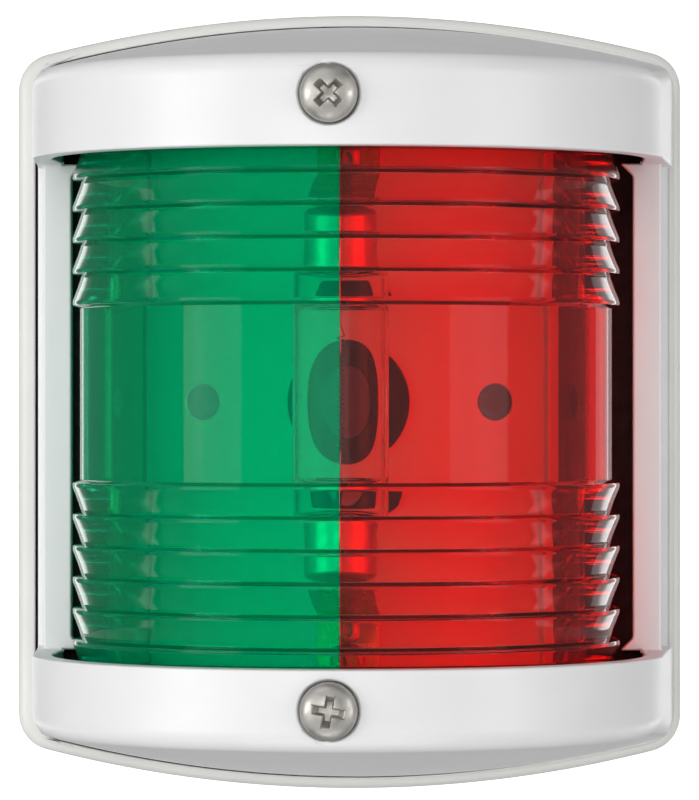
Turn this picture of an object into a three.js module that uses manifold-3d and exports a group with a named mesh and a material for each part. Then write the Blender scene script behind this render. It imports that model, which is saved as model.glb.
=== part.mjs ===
// Bicolour boat sidelight: a wall-mounted base, a hooded front cover with two ribbed lenses, and a
// festoon lamp in a pair of forked contacts. Millimetres, +Z up, the light shines towards -Y.
// The origin is the centre of the flat rear face. A depth is a distance in front of that face, so y = -depth.
import * as THREE from "three";
import { mergeVertices } from "three/addons/utils/BufferGeometryUtils.js";
import Module from "manifold-3d";

const wasm = await Module();
wasm.setup();

// ---- Driving dimensions -------------------------------------------------------------------------

const GAP = 0.3; // clearance between neighbouring pieces
const SHIM = 0.05; // clearance between faces that rest on each other

// Base plate
const flange = { halfWidth: 33, halfHeight: 38.5, archRadius: 122, corner: 4.2, edge: 1.2 };
const slabFront = 2.4;
const flangeFront = 3.2;
const ringFront = 5.8;
const ringWindow = { halfWidth: 20.5, halfHeight: 23, corner: 3 };
const mountHole = { x: 15, radius: 1.85 };
const cableHoleRadius = 5.1;
const cableBoreRadius = 3.6;

// Front cover: its plan is a straight-sided box that ends in a half-round hood
const shiftX = 0.6; // the cover and its lenses stand this far to +X of the base's middle
const wall = 1.7;
const coverRear = 2.7;
const rim = { halfWidth: 31.6, halfHeight: 37.3, archRadius: 122, corner: 3 };
const ringOutline = { ...rim, halfWidth: 29.2, halfHeight: 34.6 }; // outer edge of the base's raised ring
const hood = { radius: 30.4, centreDepth: 19, halfHeight: 31.9, edge: 2 };
const windowTop = 23.34;
const windowBottom = -24.3;
const ledge = 1.4;
const strip = { front: 10.5, thickness: 2, innerHalfWidth: 27.55, chamfer: 1.2, setBack: 0.5 };
const sideLip = 3.1; // beside the strips the cover's outer edge is kept up to this depth
const ledgeOpeningRadius = 28.5;

// Lenses: two halves of a saw-tooth ribbed drum
const lens = { centreDepth: 18.25, tipRadius: 26.4, plainRadius: 25.7, rootRadius: 25.5, innerRadius: 23.6 };
const lensX = 0.4;
const seamX = 0.8; // the halves meet just to +X of the drum's middle
const lensTop = 24.68;
const lensBottom = -25.65;
const lensRear = 8;
const lensEndWall = 1.2;
const lensSeam = 0.3;
const opticalCentre = 0.77;
const rib = { first: 8.46, pitch: 3.02, count: 6 };

// Black rubber gasket between the base ring, the lenses and the cover
const gasket = { rear: 5.85, front: 7.9, windowHalfWidth: 21.3, windowHalfHeight: 23.4, pad: 0.45 };

// Cover screws and the base posts that they enter
const screwZ = 28;
const screw = {
  headRadius: 2.65, headHeight: 1.9, shankRadius: 1.12, threadRadius: 1.25, tip: 29, pitch: 1.06,
};
const seat = { depth: 1, radius: 2.85, holeRadius: 1.6 };
const seal = { thickness: 0.5, outerRadius: 2.6, innerRadius: 1.5 };
const post = {
  halfWidth: 4.5, front: 44, holeRadius: 1.35, innerZ: 25.45, outerZFront: 29.9, outerZRear: 33,
};
const sleeveRear = post.front + GAP;

// Festoon lamp, 31 mm long. Lengths along Z here and in the contacts are from the lamp's middle.
const lamp = { depth: 22, glassRadius: 4.6, glassWall: 0.5, shoulder: 8.9, neckRadius: 2.9, neckEnd: 10.4 };
const cap = { radius: 3.6, wall: 0.4, start: 9, end: 13.9, nibRadius: 1.2, nibEnd: 15.6 };
const coil = { radius: 0.45, halfLength: 6.5, leadRadius: 0.2, leadEnd: 12.8 };

// Forked contacts that the lamp's end nibs stand in, and what fixes and feeds them
const contact = { sheet: 0.45, start: 15, halfWidth: 3.2, front: 25, slotHalfWidth: 1.35, tongueEnd: 22.1 };
const rivetSize = { offset: 17, shank: 0.75, hole: 0.85, head: 1.2, rearHead: 1.3, rearSeat: 1.5 };
const terminal = { offset: 20.2, shank: 1.1, hole: 1.25, head: 1.8, clampHalf: 1.9, clampThickness: 0.7 };

// ---- Geometry helpers ---------------------------------------------------------------------------

// Turns a closed geometry into a solid for cutting and joining.
function solid(geometry) {
  const bare = geometry.clone();
  bare.deleteAttribute("normal");
  bare.deleteAttribute("uv");
  const merged = mergeVertices(bare, 1e-4);
  return new wasm.Manifold(
    new wasm.Mesh({
      numProp: 3,
      vertProperties: new Float32Array(merged.attributes.position.array),
      triVerts: new Uint32Array(merged.index.array),
    }),
  );
}

// Turns a solid back into a flat-shaded geometry.
function geometryOf(body) {
  const mesh = body.getMesh();
  const geometry = new THREE.BufferGeometry();
  geometry.setAttribute("position", new THREE.BufferAttribute(mesh.vertProperties, 3));
  geometry.setIndex(new THREE.BufferAttribute(mesh.triVerts, 1));
  const flat = geometry.toNonIndexed();
  flat.computeVertexNormals();
  return flat;
}

// An axis-aligned block between two corners given as (x, depth, z).
function block(x0, depth0, z0, x1, depth1, z1) {
  const box = new THREE.BoxGeometry(x1 - x0, depth1 - depth0, z1 - z0);
  box.translate((x0 + x1) / 2, -(depth0 + depth1) / 2, (z0 + z1) / 2);
  return solid(box);
}

// A front-view outline (x, z), extruded forwards from one depth to another.
function slab(shape, depth0, depth1, bevel = 0) {
  const geometry = new THREE.ExtrudeGeometry(shape, {
    depth: depth1 - depth0 - 2 * bevel,
    bevelEnabled: bevel > 0,
    bevelThickness: bevel,
    bevelSize: bevel,
    bevelOffset: -bevel,
    bevelSegments: 3,
    curveSegments: 6,
    steps: 1,
  });
  geometry.translate(0, 0, depth0 + bevel);
  geometry.rotateX(Math.PI / 2);
  return solid(geometry);
}

// A plan outline (x, depth), extruded upwards from one height to another.
function tier(points, z0, z1) {
  const geometry = new THREE.ExtrudeGeometry(new THREE.Shape(points), {
    depth: z1 - z0,
    bevelEnabled: false,
  });
  geometry.scale(1, -1, 1);
  const index = [...Array(geometry.attributes.position.count).keys()];
  for (let i = 0; i < index.length; i += 3) [index[i + 1], index[i + 2]] = [index[i + 2], index[i + 1]];
  geometry.setIndex(index);
  geometry.translate(0, 0, z0);
  return solid(geometry);
}

// A round piece about an axis that points forwards: profile points are (radius, depth).
function turned(profile, segments = 24) {
  const points = profile.map(([radius, depth]) => new THREE.Vector2(radius, depth));
  const geometry = new THREE.LatheGeometry(points, segments);
  geometry.rotateX(Math.PI);
  return solid(geometry);
}

// A round piece about a vertical axis: profile points are (radius, z).
function drum(profile, segments = 24) {
  const points = profile.map(([radius, z]) => new THREE.Vector2(radius, z));
  const geometry = new THREE.LatheGeometry(points, segments);
  geometry.rotateX(Math.PI / 2);
  return solid(geometry);
}

function rod(radius, depth0, depth1, segments = 24) {
  return turned(closedDisc(radius, depth0, depth1), segments);
}

function closedDisc(radius, from, to) {
  return [[0, from], [radius, from], [radius, to], [0, to]];
}

// The profile of a tube, closed on itself.
function closedTube(innerRadius, outerRadius, from, to) {
  const outerSide = [[outerRadius, from], [outerRadius, to]];
  return [[innerRadius, from], ...outerSide, [innerRadius, to], [innerRadius, from]];
}

function move(body, x, z, depth = 0) {
  return body.translate([x, -depth, z]);
}

function union(...bodies) {
  return bodies.reduce((all, body) => all.add(body));
}

function archZ(x, halfHeight, radius) {
  return halfHeight - radius + Math.sqrt(radius * radius - x * x);
}

// A rectangle whose top and bottom are shallow arches, with rounded corners.
function archedShape({ halfWidth, halfHeight, archRadius, corner }, centreX = 0) {
  const shape = new THREE.Shape();
  const shoulder = archZ(halfWidth, halfHeight, archRadius);
  const run = halfWidth - corner;
  const steps = 12;
  const arch = (side) => {
    for (let i = 0; i <= steps; i += 1) {
      const x = side * (run - (2 * run * i) / steps);
      shape.lineTo(centreX + x, side * archZ(x, halfHeight, archRadius));
    }
  };
  shape.moveTo(centreX + halfWidth, -shoulder + corner);
  shape.lineTo(centreX + halfWidth, shoulder - corner);
  shape.quadraticCurveTo(centreX + halfWidth, shoulder, centreX + run, archZ(run, halfHeight, archRadius));
  arch(1);
  shape.quadraticCurveTo(centreX - halfWidth, shoulder, centreX - halfWidth, shoulder - corner);
  shape.lineTo(centreX - halfWidth, -shoulder + corner);
  shape.quadraticCurveTo(centreX - halfWidth, -shoulder, centreX - run, -archZ(run, halfHeight, archRadius));
  arch(-1);
  shape.quadraticCurveTo(centreX + halfWidth, -shoulder, centreX + halfWidth, -shoulder + corner);
  return shape;
}

// A plain rectangle with chamfered corners.
function chamferedShape(centreX, halfWidth, z0, z1, chamfer) {
  const left = centreX - halfWidth;
  const right = centreX + halfWidth;
  const corners = [
    [right, z0 + chamfer], [right, z1 - chamfer], [right - chamfer, z1], [left + chamfer, z1],
    [left, z1 - chamfer], [left, z0 + chamfer], [left + chamfer, z0], [right - chamfer, z0],
  ];
  return new THREE.Shape(corners.map(([x, z]) => new THREE.Vector2(x, z)));
}

// The cover's outer form, shrunk by inset: an arched rim lofted forwards to a half-round hood whose
// top and bottom edges are straight and rounded over.
function hoodSolid(inset, rear) {
  const columns = 20;
  const edge = Math.max(hood.edge - inset, 0.3);
  const roundings = [1, 0.7, 0];
  const geometry = new THREE.BoxGeometry(2, 2, 2, columns, 1, 2 * roundings.length - 1);
  const position = geometry.attributes.position;
  const half = hood.halfHeight - inset;
  for (let i = 0; i < position.count; i += 1) {
    const across = position.getX(i);
    const isFront = position.getY(i) < 0;
    const row = Math.round(((position.getZ(i) + 1) / 2) * (2 * roundings.length - 1));
    const fromEnd = Math.min(row, 2 * roundings.length - 1 - row);
    const side = row < roundings.length ? -1 : 1;
    const rearX = across * (rim.halfWidth - inset);
    const rearZ = archZ(across * rim.halfWidth, rim.halfHeight - inset, rim.archRadius);
    const outward = 1 - roundings[fromEnd];
    const drop = edge * outward;
    const pullBack = edge * (1 - Math.sqrt(1 - (1 - outward) ** 2));
    const angle = (across * Math.PI) / 2;
    const radius = hood.radius - inset - pullBack;
    const front = [radius * Math.sin(angle), hood.centreDepth + radius * Math.cos(angle), half - drop];
    const back = [rearX, coverRear, rearZ * (1 - drop / half)];
    const reach = (front[1] - rear) / (front[1] - coverRear);
    const at = isFront ? front : front.map((value, k) => value + (back[k] - value) * reach);
    position.setXYZ(i, shiftX + at[0], -at[1], side * at[2]);
  }
  return solid(geometry);
}

// The plan of the hollow that the lenses stand in: a half circle with straight sides to the rear.
function lensPlan(radius, rear, steps = 26) {
  const points = [];
  for (let i = 0; i <= steps; i += 1) {
    const angle = (Math.PI * i) / steps;
    const x = shiftX + radius * Math.cos(angle);
    points.push(new THREE.Vector2(x, lens.centreDepth + radius * Math.sin(angle)));
  }
  points.push(new THREE.Vector2(shiftX - radius, rear));
  points.push(new THREE.Vector2(shiftX + radius, rear));
  return points;
}

// ---- Materials ----------------------------------------------------------------------------------

const plastic = (color, roughness) => ({ color, roughness, metalness: 0 });
const metal = (color, roughness) => ({ color, roughness, metalness: 1 });
const finishes = {
  whiteBase: plastic(0xdcdad2, 0.45),
  whiteCover: plastic(0xe8e8e9, 0.4),
  blackRubber: plastic(0x141414, 0.8),
  stainless: metal(0xc9c7c2, 0.35),
  nickel: metal(0xb9b6ac, 0.3),
  brass: metal(0xb99a55, 0.35),
  tungsten: metal(0x6a6a6a, 0.5),
  green: { ...plastic(0x00995a, 0.12), transparent: true, opacity: 0.7 },
  red: { ...plastic(0xd8201f, 0.12), transparent: true, opacity: 0.7 },
  clearGlass: { ...plastic(0xf4f8f8, 0.05), transparent: true, opacity: 0.3 },
};

const light = new THREE.Group();

function add(name, body, finish) {
  const mesh = new THREE.Mesh(geometryOf(body), new THREE.MeshStandardMaterial(finishes[finish]));
  mesh.name = name;
  light.add(mesh);
}

// ---- Base plate ---------------------------------------------------------------------------------

// Distance from the lamp's middle to a height above or below it; side is +1 for the top, -1 below.
const lampZ = (side, offset) => opticalCentre + side * offset;
const sides = [["top", 1], ["bottom", -1]];

function basePlate() {
  const rimWell = { ...rim, halfWidth: rim.halfWidth + GAP, halfHeight: rim.halfHeight + GAP };
  const flangeBody = slab(archedShape(flange), -flange.edge - 1, flangeFront, flange.edge)
    .intersect(block(-40, 0, -45, 40, flangeFront + 1, 45))
    .subtract(slab(archedShape(rimWell, shiftX), slabFront, flangeFront + 1));
  const ringHole = new THREE.Path();
  const { halfWidth, halfHeight, corner } = ringWindow;
  ringHole.moveTo(halfWidth, -halfHeight + corner);
  ringHole.lineTo(halfWidth, halfHeight - corner);
  ringHole.quadraticCurveTo(halfWidth, halfHeight, halfWidth - corner, halfHeight);
  ringHole.lineTo(-halfWidth + corner, halfHeight);
  ringHole.quadraticCurveTo(-halfWidth, halfHeight, -halfWidth, halfHeight - corner);
  ringHole.lineTo(-halfWidth, -halfHeight + corner);
  ringHole.quadraticCurveTo(-halfWidth, -halfHeight, -halfWidth + corner, -halfHeight);
  ringHole.lineTo(halfWidth - corner, -halfHeight);
  ringHole.quadraticCurveTo(halfWidth, -halfHeight, halfWidth, -halfHeight + corner);
  const ringShape = archedShape(ringOutline, shiftX);
  ringShape.holes.push(ringHole);
  let body = flangeBody.add(slab(ringShape, slabFront - 0.4, ringFront));
  for (const [, side] of sides) {
    body = body.add(screwPost(side));
    body = body.subtract(move(rod(post.holeRadius, screw.tip - 2, post.front + 1, 20), 0, side * screwZ));
    body = body.subtract(move(rod(rivetSize.hole, -1, slabFront + 1, 12), 0, lampZ(side, rivetSize.offset)));
    body = body.subtract(move(rod(rivetSize.rearSeat, -1, 0.9, 16), 0, lampZ(side, rivetSize.offset)));
    body = body.subtract(move(rod(terminal.hole, -1, slabFront + 1, 12), 0, lampZ(side, terminal.offset)));
    body = body.subtract(move(rod(mountHole.radius, -1, slabFront + 1, 20), side * mountHole.x, 0));
  }
  return body.subtract(rod(cableHoleRadius, -1, slabFront + 1, 32));
}

// The height of a post's face next to the lenses: the lower one stands clear of the lower lens end.
function postInnerZ(side) {
  return side > 0 ? post.innerZ : windowTop + windowBottom - post.innerZ;
}

// A tapered post that stands inside the hood and takes a cover screw end-on.
function screwPost(side) {
  const innerZ = Math.abs(postInnerZ(side));
  const profile = [
    [slabFront - 0.4, innerZ],
    [post.front, innerZ],
    [post.front, post.outerZFront],
    [slabFront - 0.4, post.outerZRear],
  ];
  const shape = new THREE.Shape(profile.map(([depth, z]) => new THREE.Vector2(depth, z)));
  const geometry = new THREE.ExtrudeGeometry(shape, { depth: 2 * post.halfWidth, bevelEnabled: false });
  geometry.translate(0, 0, -post.halfWidth);
  geometry.applyMatrix4(new THREE.Matrix4().set(0, 0, 1, 0, -1, 0, 0, 0, 0, 1, 0, 0, 0, 0, 0, 1));
  const index = [...Array(geometry.attributes.position.count).keys()];
  for (let i = 0; i < index.length; i += 3) [index[i + 1], index[i + 2]] = [index[i + 2], index[i + 1]];
  geometry.setIndex(index);
  const body = solid(geometry);
  return side > 0 ? body : body.mirror([0, 0, 1]);
}

add("base_plate", basePlate(), "whiteBase");

// ---- Cable grommet ------------------------------------------------------------------------------

function grommet() {
  const profile = [
    [cableBoreRadius, 0.2],
    [cableHoleRadius - 0.1, 0.2],
    [cableHoleRadius - 0.1, slabFront + SHIM],
    [cableHoleRadius + 1.1, slabFront + SHIM],
    [cableHoleRadius + 0.9, slabFront + 0.7],
    [cableBoreRadius + 0.6, slabFront + 1.3],
    [cableBoreRadius, slabFront + 1.1],
    [cableBoreRadius, 0.2],
  ];
  return turned(profile, 32);
}

add("cable_grommet", grommet(), "blackRubber");

// ---- Gasket -------------------------------------------------------------------------------------

// The cover's inside, shrunk by a clearance.
const coverInside = (clearance) => hoodSolid(wall + clearance, -5);

function lensGasket() {
  const ringShape = archedShape(
    { ...rim, halfWidth: rim.halfWidth - wall - 1, halfHeight: rim.halfHeight - wall - 1.4 },
    shiftX,
  );
  const windowShape = chamferedShape(
    shiftX,
    gasket.windowHalfWidth,
    -gasket.windowHalfHeight - 0.5,
    gasket.windowHalfHeight - 0.5,
    1.5,
  );
  let body = slab(ringShape, gasket.rear, gasket.front)
    .subtract(slab(windowShape, gasket.rear - 1, gasket.front + 1));
  const padPlan = lensPlan(29, gasket.rear + 0.2);
  const padHollow = lensPlan(21, gasket.front - 4);
  const padClearance = 0.07;
  for (const z of [lensTop + padClearance, lensBottom - padClearance - gasket.pad]) {
    const pad = tier(padPlan, z, z + gasket.pad).subtract(tier(padHollow, z - 1, z + 2));
    body = body.add(pad);
  }
  for (const [, side] of sides) {
    const nearZ = postInnerZ(side) - side * SHIM;
    const hole = block(-post.halfWidth - GAP, 0, Math.min(nearZ, side * 40), post.halfWidth + GAP, 60,
      Math.max(nearZ, side * 40));
    body = body.subtract(hole);
  }
  return body.intersect(coverInside(GAP));
}

add("lens_gasket", lensGasket(), "blackRubber");

// ---- Front cover --------------------------------------------------------------------------------

function frontCover() {
  const rimOutline = archedShape(rim, shiftX);
  const outer = hoodSolid(0, coverRear).intersect(slab(rimOutline, 0, 60));
  const lensSpace = (z0, z1) => tier(lensPlan(ledgeOpeningRadius, strip.front - 4), z0, z1);
  const topLedge = block(-40, strip.front - strip.thickness, windowTop, 40, 60, windowTop + ledge);
  const bottomLedge = block(-40, strip.front - strip.thickness, windowBottom - ledge, 40, 60, windowBottom);
  const ledges = union(topLedge, bottomLedge).subtract(lensSpace(-40, 40));
  const stripBlock = block(-40, strip.front - strip.thickness, windowBottom - 0.02, 40, strip.front,
    windowTop + 0.02);
  const stripHole = chamferedShape(
    shiftX,
    strip.innerHalfWidth,
    windowBottom - 0.03,
    windowTop + 0.03,
    strip.chamfer,
  );
  const strips = stripBlock.subtract(slab(stripHole, 0, 30));
  let body = outer.subtract(coverInside(0)).add(union(ledges, strips).intersect(outer));
  for (const [, side] of sides) {
    const innerZ = postInnerZ(side);
    const outerZ = side * (hood.halfHeight - wall / 2);
    const sleeve = block(-post.halfWidth, sleeveRear, Math.min(innerZ, outerZ), post.halfWidth,
      hood.centreDepth + hood.radius - wall / 2, Math.max(innerZ, outerZ));
    body = body.add(sleeve);
  }
  body = body.subtract(block(-40, strip.front, windowBottom, 40, 60, windowTop));
  const inwardSide = hood.radius + 0.4 - strip.setBack;
  for (const side of [-1, 1]) {
    const ends = [shiftX + side * inwardSide, side * 50];
    body = body.subtract(block(Math.min(...ends), sideLip, windowBottom, Math.max(...ends), 60, windowTop));
  }
  const seatDepth = hood.centreDepth + hood.radius - seat.depth;
  for (const [, side] of sides) {
    body = body.subtract(move(rod(seat.holeRadius, 30, 60, 20), 0, side * screwZ));
    body = body.subtract(move(rod(seat.radius, seatDepth, 60, 32), 0, side * screwZ));
  }
  return body;
}

add("front_cover", frontCover(), "whiteCover");

// A thin flat seal in the well between the flange and the ring, under the cover's rear edge.
function rimSeal() {
  const grown = (outline, by) => {
    const { halfWidth, halfHeight } = outline;
    return archedShape({ ...outline, halfWidth: halfWidth + by, halfHeight: halfHeight + by }, shiftX);
  };
  return slab(grown(rim, GAP - SHIM), slabFront + SHIM, coverRear - SHIM)
    .subtract(slab(grown(ringOutline, SHIM), 0, coverRear + 1));
}

add("rim_seal", rimSeal(), "blackRubber");

// ---- Lenses -------------------------------------------------------------------------------------

// The saw-tooth profile from the bottom end to the top end, as (radius, z) points.
function lensProfile() {
  const points = [[0, lensBottom]];
  for (let n = rib.count - 1; n >= 0; n -= 1) {
    const tip = opticalCentre - rib.first - n * rib.pitch;
    const root = Math.max(tip - rib.pitch, lensBottom);
    points.push([lens.rootRadius, root], [lens.tipRadius, tip - 0.02]);
  }
  points.push([lens.plainRadius, opticalCentre - rib.first + 0.03]);
  points.push([lens.plainRadius, opticalCentre + rib.first - 0.03]);
  for (let n = 0; n < rib.count; n += 1) {
    const tip = opticalCentre + rib.first + n * rib.pitch;
    const root = Math.min(tip + rib.pitch, lensTop);
    points.push([lens.tipRadius, tip + 0.02], [lens.rootRadius, root]);
  }
  points.push([0, lensTop]);
  return points;
}

function lensHalf(side) {
  const seam = seamX - lensX + (side * lensSeam) / 2;
  const hollow = closedDisc(lens.innerRadius, lensBottom + lensEndWall, lensTop - lensEndWall);
  const shell = move(drum(lensProfile(), 56), 0, 0, lens.centreDepth)
    .subtract(move(drum(hollow, 56), 0, 0, lens.centreDepth));
  const kept = shell.intersect(block(
    Math.min(seam, side * 40), lensRear, -40,
    Math.max(seam, side * 40), 60, 40,
  ));
  return move(kept, lensX, 0);
}

add("starboard_lens", lensHalf(-1), "green");
add("port_lens", lensHalf(1), "red");

// ---- Cover screws and their seals ---------------------------------------------------------------

const seatFace = hood.centreDepth + hood.radius - seat.depth;

function sealRing() {
  const rear = seatFace + SHIM;
  return turned(closedTube(seal.innerRadius, seal.outerRadius, rear, rear + seal.thickness));
}

function coverScrew(turnDegrees) {
  const underHead = seatFace + 2 * SHIM + seal.thickness;
  const profile = [[0, screw.tip], [0.5, screw.tip + 0.6]];
  const threadEnd = screw.tip + 13;
  for (let depth = screw.tip + 1.2; depth < threadEnd; depth += screw.pitch) {
    profile.push([screw.shankRadius - 0.3, depth], [screw.threadRadius, depth + screw.pitch / 2]);
  }
  profile.push([screw.shankRadius, threadEnd + 0.4], [screw.shankRadius, underHead]);
  profile.push([screw.headRadius, underHead], [screw.headRadius, underHead + 0.5]);
  profile.push([screw.headRadius * 0.88, underHead + screw.headHeight * 0.7]);
  profile.push([screw.headRadius * 0.5, underHead + screw.headHeight * 0.95]);
  profile.push([0, underHead + screw.headHeight]);
  const recessDepth = underHead + screw.headHeight - 1.2;
  const arm = block(-1.6, recessDepth, -0.4, 1.6, 60, 0.4);
  const recess = arm.add(block(-0.4, recessDepth, -1.6, 0.4, 60, 1.6)).rotate([0, turnDegrees, 0]);
  return turned(profile, 12).subtract(recess);
}

for (const [place, side] of sides) {
  const turn = side > 0 ? 45 : 9;
  add(`cover_screw_${place}`, move(coverScrew(turn), 0, side * screwZ), "stainless");
  add(`screw_seal_${place}`, move(sealRing(), 0, side * screwZ), "blackRubber");
}

// ---- Festoon lamp -------------------------------------------------------------------------------

const atLamp = (body) => move(body, 0, opticalCentre, lamp.depth);

function lampGlass() {
  const { neckRadius, neckEnd, glassRadius, glassWall, shoulder } = lamp;
  const outline = [
    [neckRadius, neckEnd],
    [neckRadius, shoulder + 0.1],
    [glassRadius - 0.6, shoulder],
    [glassRadius, shoulder - 0.6],
  ];
  const outerSide = [...outline.map(([r, z]) => [r, -z]), ...[...outline].reverse()];
  const inward = ([r, z], i) => [r - glassWall, Math.sign(z) * (Math.abs(z) - (i ? glassWall : 0))];
  const innerUpper = outline.map(inward);
  const innerSide = [...innerUpper, ...[...innerUpper].reverse().map(([r, z]) => [r, -z])];
  return drum([...outerSide, ...innerSide, outerSide[0]], 24);
}

function lampCap(side) {
  const inner = cap.radius - cap.wall;
  const profile = [
    [inner, cap.start],
    [cap.radius, cap.start],
    [cap.radius, cap.end],
    [cap.radius - 0.6, cap.end + 0.6],
    [cap.nibRadius, cap.end + 0.9],
    [cap.nibRadius, cap.nibEnd - 0.2],
    [cap.nibRadius - 0.3, cap.nibEnd],
    [0, cap.nibEnd],
    [0, cap.end],
    [inner, cap.end],
    [inner, cap.start],
  ];
  const body = drum(profile, 24);
  return side > 0 ? body : body.mirror([0, 0, 1]);
}

// The coiled filament on its two straight leads.
function filament() {
  const { radius, halfLength, leadRadius, leadEnd } = coil;
  const upper = [[radius, halfLength], [leadRadius, halfLength + 0.1], [leadRadius, leadEnd], [0, leadEnd]];
  const lower = upper.map(([r, z]) => [r, -z]).reverse();
  return drum([...lower, ...upper], 8);
}

add("lamp_glass", atLamp(lampGlass()), "clearGlass");
add("lamp_filament", atLamp(filament()), "tungsten");
add("lamp_cap_top", atLamp(lampCap(1)), "nickel");
add("lamp_cap_bottom", atLamp(lampCap(-1)), "nickel");

// ---- Contacts -----------------------------------------------------------------------------------

// Flips a piece that is made for the top contact to the bottom one.
const toBottom = (body) => body.mirror([0, 0, 1]).translate([0, 0, 2 * opticalCentre]);
const onSide = (body, side) => (side > 0 ? body : toBottom(body));

// A blade with a slot that opens forwards, bent outwards into a tongue that lies on the base.
function contactClip() {
  const { sheet, start, halfWidth, front, slotHalfWidth, tongueEnd } = contact;
  const rear = slabFront + SHIM;
  const z = opticalCentre + start;
  const blade = block(-halfWidth, rear, z, halfWidth, front, z + sheet);
  const tongue = block(-halfWidth, rear, z, halfWidth, rear + sheet, opticalCentre + tongueEnd);
  const slot = block(-slotHalfWidth, lamp.depth, z - 1, slotHalfWidth, front + 1, z + 1);
  const slotEnd = drum([[0, -1], [slotHalfWidth, -1], [slotHalfWidth, 1], [0, 1]], 24);
  const rivetHole = move(rod(rivetSize.hole, 0, 8, 12), 0, opticalCentre + rivetSize.offset);
  const screwHole = move(rod(terminal.hole, 0, 8, 16), 0, opticalCentre + terminal.offset);
  return blade.add(tongue).subtract(slot).subtract(move(slotEnd, 0, z, lamp.depth))
    .subtract(rivetHole).subtract(screwHole);
}

function rivet() {
  const headRear = slabFront + 2 * SHIM + contact.sheet;
  const profile = [[0, 0.15], [rivetSize.rearHead, 0.15], [rivetSize.rearHead, 0.8], [rivetSize.shank, 0.85]];
  profile.push([rivetSize.shank, headRear], [rivetSize.head, headRear]);
  profile.push([rivetSize.head - 0.2, headRear + 0.6], [0, headRear + 0.8]);
  return move(turned(profile, 16), 0, opticalCentre + rivetSize.offset);
}

const clampRear = slabFront + contact.sheet + 0.15;

function wireClamp() {
  const { offset, hole, clampHalf, clampThickness } = terminal;
  const z = opticalCentre + offset;
  const front = clampRear + clampThickness;
  const plate = block(-clampHalf, clampRear, z - clampHalf, clampHalf, front, z + clampHalf);
  return plate.subtract(move(rod(hole, 0, 8, 16), 0, z));
}

function terminalScrew() {
  const { offset, shank, head, clampThickness } = terminal;
  const underHead = clampRear + clampThickness + SHIM;
  const profile = [[0, 0.4], [shank, 0.6], [shank, underHead], [head, underHead], [head, underHead + 0.9]];
  profile.push([head - 0.6, underHead + 1.6], [0, underHead + 1.8]);
  const slot = block(-3, underHead + 1, -0.3, 3, 20, 0.3);
  return move(turned(profile, 20).subtract(slot.rotate([0, 25, 0])), 0, opticalCentre + offset);
}

for (const [place, side] of sides) {
  add(`contact_clip_${place}`, onSide(contactClip(), side), "brass");
  add(`clip_rivet_${place}`, onSide(rivet(), side), "nickel");
  add(`wire_clamp_${place}`, onSide(wireClamp(), side), "nickel");
  add(`terminal_screw_${place}`, onSide(terminalScrew(), side), "brass");
}

export default light;
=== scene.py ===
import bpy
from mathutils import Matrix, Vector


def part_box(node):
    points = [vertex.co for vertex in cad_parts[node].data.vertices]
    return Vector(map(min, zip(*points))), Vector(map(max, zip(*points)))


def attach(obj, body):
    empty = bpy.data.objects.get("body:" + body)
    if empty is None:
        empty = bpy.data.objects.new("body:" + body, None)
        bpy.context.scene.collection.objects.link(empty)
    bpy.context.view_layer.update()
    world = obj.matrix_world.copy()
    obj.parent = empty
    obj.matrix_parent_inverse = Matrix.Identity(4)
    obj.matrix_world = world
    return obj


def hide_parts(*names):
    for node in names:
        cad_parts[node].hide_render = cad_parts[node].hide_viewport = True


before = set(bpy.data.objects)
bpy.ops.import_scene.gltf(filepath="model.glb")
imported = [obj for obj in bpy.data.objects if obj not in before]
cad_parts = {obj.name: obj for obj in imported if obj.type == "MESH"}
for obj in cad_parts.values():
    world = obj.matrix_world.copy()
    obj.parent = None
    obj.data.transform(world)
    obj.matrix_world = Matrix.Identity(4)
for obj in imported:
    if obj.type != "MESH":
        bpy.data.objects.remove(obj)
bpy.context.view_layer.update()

import math

import bmesh
import bpy
from mathutils import Vector

# Lengths are in millimetres unless a comment says otherwise. A depth is a distance in front of the
# flat rear face, so y = -depth. Meshes are scaled to metres when they are made.
MM = 0.001


def span(node):
    """A CAD node's box as (x0, x1), (depth0, depth1), (z0, z1) in millimetres."""
    low, high = (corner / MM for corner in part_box(node))
    return (low.x, high.x), (-high.y, -low.y), (low.z, high.z)


def middle_z(node):
    """The height of a CAD node's middle."""
    return sum(span(node)[2]) / 2


# ---- Main dimensions, from the frame where a CAD piece gives them -----------------------------

BASE_X, _, BASE_Z = span("base_plate")
COVER_X, COVER_DEPTH, COVER_Z = span("front_cover")
GREEN_X, LENS_DEPTH, LENS_Z = span("starboard_lens")
RED_X = span("port_lens")[0]
GASKET_DEPTH = span("lens_gasket")[1]
SIDES = {"top": 1, "bottom": -1}
BESIDE, AHEAD = 40, 60      # cutters reach this far, past the part's sides and past its front

ARCH_RADIUS = 122           # of the flange, the ring and the cover's rim, at top and bottom
FLANGE_FRONT = 3.2
SLAB_FRONT = 2.4
RING_FRONT = 5.8
CABLE_HOLE = 5.1
FLANGE = {"half_width": BASE_X[1], "half_height": BASE_Z[1], "corner": 3.7}

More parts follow.
